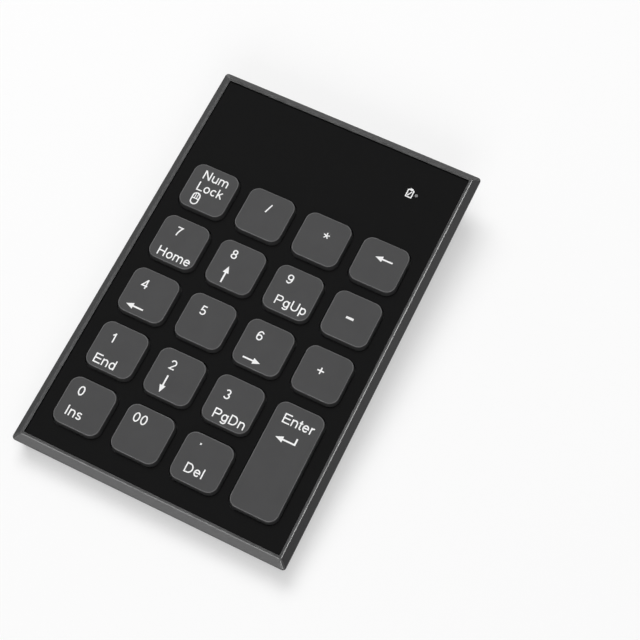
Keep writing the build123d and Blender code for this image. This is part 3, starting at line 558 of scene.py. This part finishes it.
def draw_star(drawing, x, y, reach, line, arms=5):
    """Spokes from one point, the first straight up."""
    for arm in range(arms):
        angle = radians(90 + arm * 360 / arms)
        add_bar(drawing, (x, y), (x + reach * cos(angle), y + reach * sin(angle)), line, arm * ink_step)


def draw_mouse(drawing, x, y):
    """A small outline of a pointing device, with its two buttons and wheel."""
    width, length, corner = 2.6, 4.2, 1.08
    line, across_line, wheel_line = 0.4, 0.34, 0.26
    half_wheel = 0.34
    reach = (width - line) / 2
    add_loop(drawing, x, y, width, length, corner, line)
    add_bar(drawing, (x - reach, y), (x + reach, y), across_line, ink_step)
    for wheel_x in (x - half_wheel, x + half_wheel):
        add_bar(drawing, (wheel_x, y), (wheel_x, y + (length - line) / 2), wheel_line, 2 * ink_step)


def draw_battery(drawing, x, y):
    """A cell outline with a slash through it, for the low-cell warning."""
    width, length, corner = 2.15, 2.8, 0.12
    line, nub_line = 0.36, 0.4
    half_nub = 0.5
    nub_y = y + length / 2 + 0.18
    slash_x, slash_y = 0.45, 0.8
    add_loop(drawing, x, y, width, length, corner, line)
    add_bar(drawing, (x - half_nub, nub_y), (x + half_nub, nub_y), nub_line, ink_step)
    add_bar(drawing, (x - slash_x, y - slash_y), (x + slash_x, y + slash_y), line, 2 * ink_step)


def finish_drawing(drawing, name, place, body):
    """Turns a drawing into a piece that rides on a body."""
    bmesh.ops.recalc_face_normals(drawing, faces=drawing.faces)
    mesh = bpy.data.meshes.new(name)
    drawing.to_mesh(mesh)
    drawing.free()
    mesh.transform(place)
    mesh.materials.append(ink)
    piece = bpy.data.objects.new(name, mesh)
    bpy.context.scene.collection.objects.link(piece)
    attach(piece, body)
    return piece


# What stands on each key: the kind of mark, then its text, size or direction, then where it
# starts, in millimetres from the middle of the key. An arrow starts at its tip.
left, right, up, down = (-1, 0), (1, 0), (0, 1), (0, -1)
legends = {
    "num_lock": (("text", "Num", -3.85, 2.75), ("text", "Lock", -3.85, -1.4),
                 ("mouse", None, -2.55, -4.15)),
    "divide": (("text", "/", -0.55, 0.8),),
    "multiply": (("star", 1.0, 0.8, 1.7),),
    "backspace": (("arrow", left, -2.2, 1.9),),
    "7": (("text", "7", -2.75, 1.5), ("text", "Home", -4.5, -6.2)),
    "8": (("text", "8", -3.1, 2.0), ("arrow", up, -1.85, -0.6)),
    "9": (("text", "9", -3.65, 2.0), ("text", "PgUp", -3.8, -5.25)),
    "minus": (("bar", (2.4, 0.75), -0.4, -0.15),),
    "4": (("text", "4", -3.65, 1.2), ("arrow", left, -4.8, -5.0)),
    "5": (("text", "5", -3.05, 1.2),),
    "6": (("text", "6", -3.5, 1.3), ("arrow", right, 1.4, -5.0)),
    "plus": (("plus", 2.1, -0.9, 0.7),),
    "1": (("text", "1", -3.5, 1.3), ("text", "End", -4.9, -6.15)),
    "2": (("text", "2", -2.95, 1.4), ("arrow", down, -1.85, -6.1)),
    "3": (("text", "3", -3.65, 0.35), ("text", "PgDn", -3.9, -5.9)),
    "enter": (("text", "Enter", -4.2, 10.7), ("return", None, -3.8, 6.2)),
    "0": (("text", "0", -4.05, 2.1), ("text", "Ins", -4.2, -4.5)),
    "00": (("text", "00", -4.9, 2.1),),
    "decimal": (("bar", (0.5, 0.5), -2.7, 4.5), ("text", "Del", -3.6, -4.6)),
}


def draw_mark(drawing, kind, what, x, y):
    """One mark of a legend."""
    if kind == "text":
        add_text(drawing, what, x, y)
    elif kind == "star":
        draw_star(drawing, x, y, what, star_stroke)
    elif kind == "arrow":
        add_arrow(drawing, (x, y), what)
    elif kind == "return":
        shaft_length = arrow_length + return_reach
        turn_x = x + shaft_length - stroke / 2
        add_arrow(drawing, (x, y), left, length=shaft_length)
        add_bar(drawing, (turn_x, y - stroke / 2), (turn_x, y + return_rise), lift=ink_step)
    elif kind == "bar":
        width, thickness = what
        add_bar(drawing, (x - width / 2, y), (x + width / 2, y), thickness)
    elif kind == "plus":
        add_bar(drawing, (x - what / 2, y), (x + what / 2, y), plus_stroke)
        add_bar(drawing, (x, y - what / 2), (x, y + what / 2), plus_stroke, ink_step)
    elif kind == "mouse":
        draw_mouse(drawing, x, y)


for key, marks in legends.items():
    low, high = deck_box(f"key_{key}")
    sketch = bmesh.new()
    for kind, what, x, y in marks:
        draw_mark(sketch, kind, what, x, y)
    middle = (low + high) / 2
    finish_drawing(sketch, f"legend_{key}", place_on_deck(middle.x, middle.y, high.z), f"{key}_key")

mark_left, mark_back = -2.1, -0.15      # the low-cell mark, from the middle of its lamp
light_low, light_high = deck_box("light_pipe")
light_middle = (light_low + light_high) / 2
light_top = place_on_deck(light_middle.x, light_middle.y, light_high.z)
sketch = bmesh.new()
draw_battery(sketch, mark_left, mark_back)
finish_drawing(sketch, "low_battery_mark", light_top, "case")


# --- Rubber domes, which the keys flatten ---
dome_sides = 40
weld_distance = 0.001 * MM


def dome_profile(width, height):
    """Points (radius, height) from the flange, up the outside, and back down the inside."""
    outer = width / 2
    flange = [(outer - 1.2 * MM, 0), (outer, 0), (outer, 0.3 * MM), (outer - 0.1 * MM, 0.35 * MM),
              (outer - 0.75 * MM, 0.36 * MM)]
    cone = [(outer - 0.95 * MM, 0.5 * MM), (outer * 0.62, height * 0.62), (outer * 0.5, height - 0.35 * MM)]
    button = [(outer * 0.47, height - 0.06 * MM), (outer * 0.44, height), (0, height)]
    inside = [(0, height - 0.9 * MM), (outer * 0.33, height - 0.85 * MM), (outer * 0.4, height * 0.55),
              (outer - 1.35 * MM, 0.3 * MM)]
    return flange + cone + button + inside


def build_dome(key):
    """A turned dome that stands for its CAD node, fixed to the case; the real one flattens as its key goes
    down.
    """
    node = f"dome_{key}"
    low, high = deck_box(node)
    middle = (low + high) / 2
    mesh_data = bmesh.new()
    points = [mesh_data.verts.new((radius, 0, height))
              for radius, height in dome_profile(high.x - low.x, high.z - low.z)]
    edges = [mesh_data.edges.new((points[index], points[(index + 1) % len(points)]))
             for index in range(len(points))]
    bmesh.ops.spin(mesh_data, geom=points + edges, cent=(0, 0, 0), axis=(0, 0, 1), angle=2 * pi,
                   steps=dome_sides, use_merge=True)
    bmesh.ops.remove_doubles(mesh_data, verts=mesh_data.verts, dist=weld_distance)
    bmesh.ops.recalc_face_normals(mesh_data, faces=mesh_data.faces)
    mesh = bpy.data.meshes.new(f"rubber_{node}")
    mesh_data.to_mesh(mesh)
    mesh_data.free()
    mesh.transform(deck_turn @ Matrix.Translation((middle.x, middle.y, low.z)))
    mesh.shade_smooth()
    mesh.materials.append(finishes["dome_rubber"])
    piece = bpy.data.objects.new(f"rubber_{node}", mesh)
    bpy.context.scene.collection.objects.link(piece)
    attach(piece, "case")
    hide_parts(node)
    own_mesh(piece)


for key in legends:
    build_dome(key)


# --- Table ---
table_reach = 6.0           # from its middle to its edges
table_drop = 0.02 * MM      # the feet's soles stand clear of the table by this
table_grey = (0.8, 0.8, 0.8)            # its colour to the light that it sends back up
table_white = (0.96, 0.96, 0.96)        # what the camera and mirrors see
table_glow = 0.42           # share of the white that the keypad's shadow doesn't darken
fade_start = 0.15           # that share grows from this far out, and at fade_end it is all of it
fade_end = 0.7


def table_finish():
    """White to the camera and to mirrors, with the keypad's shadow, and clear from below.

    Lamps shine through it too, so the one underneath lights the keypad's underside.
    """
    material, tree, shader = start_material("table")
    shader.inputs["Roughness"].default_value = 0.9
    shader.inputs["Specular IOR Level"].default_value = 0.0
    seen = seen_rays(tree)
    tree.links.new(mix_colours(tree, seen, table_grey, table_white), shader.inputs["Base Color"])
    place = add_node(tree, "ShaderNodeTexCoord")
    away = add_node(tree, "ShaderNodeVectorMath", operation="LENGTH")
    tree.links.new(place.outputs["Object"], away.inputs[0])
    unshaded = remap(tree, away.outputs["Value"], table_glow, 1.0, fade_start, fade_end)
    white = add_node(tree, "ShaderNodeEmission", [("Strength", 1.0)])
    top = mix_shaders(tree, combine(tree, "MULTIPLY", seen, unshaded), shader.outputs["BSDF"],
                      white.outputs["Emission"])
    face = add_node(tree, "ShaderNodeNewGeometry")
    path = add_node(tree, "ShaderNodeLightPath")
    clear = combine(tree, "MAXIMUM", face.outputs["Backfacing"], path.outputs["Is Shadow Ray"])
    glass = add_node(tree, "ShaderNodeBsdfTransparent")
    surface = mix_shaders(tree, clear, top, glass.outputs["BSDF"])
    tree.links.new(surface, tree.nodes["Material Output"].inputs["Surface"])
    return material


def build_floor():
    """A wide pale table under the keypad."""
    mesh_data = bmesh.new()
    bmesh.ops.create_grid(mesh_data, x_segments=1, y_segments=1, size=table_reach)
    mesh = bpy.data.meshes.new("table")
    mesh_data.to_mesh(mesh)
    mesh_data.free()
    mesh.transform(Matrix.Translation((0, 0, -table_drop)))
    mesh.materials.append(table_finish())
    table = bpy.data.objects.new("table", mesh)
    bpy.context.scene.collection.objects.link(table)


build_floor()

# --- Lights ---
world_light = 0.15          # strength of the light from all round
key_field = (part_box("key_1")[0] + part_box("key_minus")[1]) / 2


def softbox(name, direction, distance, width, height, radiance, light=True, gloss=True, only=None):
    """A rectangular lamp that faces the keypad from a direction, as bright as radiance says.

    One without light is a board that only shows in glossy surfaces, and one without gloss doesn't
    show in them. If only names a node, the lamp reaches that node alone.
    """
    data = bpy.data.lights.new(name, "AREA")
    data.shape = "RECTANGLE"
    data.size = width
    data.size_y = height
    data.energy = radiance * pi * width * height
    lamp = bpy.data.objects.new(name, data)
    way = Vector(direction).normalized()
    lamp.location = key_field + way * distance
    lamp.rotation_euler = way.to_track_quat("Z", "Y").to_euler()
    lamp.visible_diffuse = light
    lamp.visible_glossy = gloss
    if only:
        lit = bpy.data.collections.new(name)
        lit.objects.link(frame["nodes"][only])
        lamp.light_linking.receiver_collection = lit
    bpy.context.scene.collection.objects.link(lamp)


softbox("main", (-0.4, 0.45, 0.8), distance=2.6, width=1.8, height=1.4, radiance=5.6, gloss=False)
softbox("overhead", (0.0, 0.0, 1.0), distance=2.4, width=1.6, height=1.6, radiance=2.0, gloss=False)
softbox("fill", (0.3, -0.8, 0.52), distance=2.4, width=1.6, height=1.0, radiance=3.0, gloss=False)
softbox("underside", (0.0, 0.0, -1.0), distance=2.4, width=2.4, height=2.4, radiance=1.4, gloss=False)

# boards that draw the sheen on the skirt and the fine bright lines on the edges
softbox("front_board", (-0.19, -0.84, 0.5), distance=2.0, width=1.6, height=1.6, radiance=9.0,
        light=False, only="top_frame")
softbox("right_board", (0.88, 0.3, 0.35), distance=2.2, width=0.9, height=0.9, radiance=2.0,
        light=False, only="top_frame")
softbox("corner_strip", (0.33, -0.79, 0.53), distance=2.2, width=0.3, height=0.4, radiance=50.0,
        light=False, only="top_frame")
softbox("lip_strip", (0.5, 0.3, 0.81), distance=2.2, width=1.2, height=0.7, radiance=32.0,
        light=False, only="top_frame")
softbox("front_strip", (-0.2, -0.6, 0.77), distance=2.2, width=1.2, height=0.5, radiance=10.0,
        light=False)


def build_world():
    """Dim white light from all round, which the camera and mirrors see as white."""
    world = bpy.data.worlds.new("studio")
    world.use_nodes = True
    tree = world.node_tree
    background = tree.nodes["Background"]
    background.inputs["Color"].default_value = (1, 1, 1, 1)
    strength = remap(tree, seen_rays(tree), world_light, 1.0, 0.0, 1.0)
    tree.links.new(strength, background.inputs["Strength"])
    bpy.context.scene.world = world


build_world()

# --- Camera ---
view_azimuth = radians(-26.47)      # turned from straight behind the front edge
view_elevation = radians(65.0)
view_roll = radians(-0.15)
view_distance = 0.4124
view_lens = 79.37
look_right = 20.1 * MM              # from the middle of the face plate to what the view is centred on
look_back = 3.6 * MM

plate_low, plate_high = deck_box("face_plate")
look_at = deck_turn @ Vector(((plate_low.x + plate_high.x) / 2 + look_right,
                              (plate_low.y + plate_high.y) / 2 + look_back, plate_high.z))
view_way = Vector((sin(view_azimuth) * cos(view_elevation), cos(view_azimuth) * cos(view_elevation),
                   -sin(view_elevation)))
camera_data = bpy.data.cameras.new("camera")
camera_data.lens = view_lens
camera_data.clip_start = 0.01
camera = bpy.data.objects.new("camera", camera_data)
camera.location = look_at - view_way * view_distance
camera.rotation_mode = "QUATERNION"
level = view_way.to_track_quat("-Z", "Y")
camera.rotation_quaternion = level @ Matrix.Rotation(view_roll, 3, "Z").to_quaternion()
bpy.context.scene.collection.objects.link(camera)
bpy.context.scene.camera = camera
bpy.context.scene.view_settings.view_transform = "Standard"
